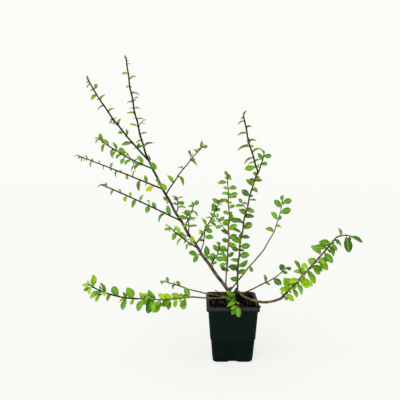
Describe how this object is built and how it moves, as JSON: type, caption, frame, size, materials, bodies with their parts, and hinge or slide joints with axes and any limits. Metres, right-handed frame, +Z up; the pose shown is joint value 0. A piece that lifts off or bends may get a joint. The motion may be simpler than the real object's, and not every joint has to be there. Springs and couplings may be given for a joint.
{
  "type": "potted spreading shrub",
  "caption": "Young spreading shrub with long arching leafy shoots from one low crown, growing in a square black nursery pot of compost.",
  "frame": {"origin": "middle of the pot's flat underside", "axes": "+Z up; the broad view of the plant looks along +Y, with the main limb leaning towards -X and the arching bough towards +X"},
  "size_m": [0.5051, 0.2261, 0.5364],
  "materials": {
    "pot": "satin",
    "compost": "matte",
    "bark": "matte",
    "foliage": "satin"
  },
  "bodies": {
    "root": {"pot": "pot", "compost": "compost", "crown": "bark", "main_limb": "bark", "centre_bough": "bark", "upright_bough": "bark", "thin_bough": "bark", "arch_bough": "bark", "low_bough": "bark", "long_runner": "bark", "short_runner": "bark", "dry_twig": "bark", "leader_spray": "foliage", "second_spray": "foliage", "third_spray": "foliage", "fourth_spray": "foliage", "fifth_spray": "foliage", "side_spray": "foliage", "high_inner_shoot": "foliage", "mid_inner_shoot": "foliage", "mid_front_shoot": "foliage", "low_inner_shoot": "foliage", "low_front_shoot": "foliage", "thin_inner_shoot": "foliage", "foot_inner_shoot": "foliage", "centre_spray": "foliage", "upright_spray": "foliage", "upright_tip_spray": "foliage", "upright_fork_shoot": "foliage", "thin_spray": "foliage", "low_spray": "foliage", "arch_spray": "foliage", "arch_tip_spray": "foliage", "runner_inner_spray": "foliage", "runner_outer_spray": "foliage", "short_runner_spray": "foliage", "rim_spray": "foliage", "crown_shoot": "foliage", "spur_1": "foliage", "spur_2": "foliage", "spur_3": "foliage", "spur_4": "foliage", "spur_5": "foliage", "spur_6": "foliage", "spur_7": "foliage"}
  },
  "joints": []
}
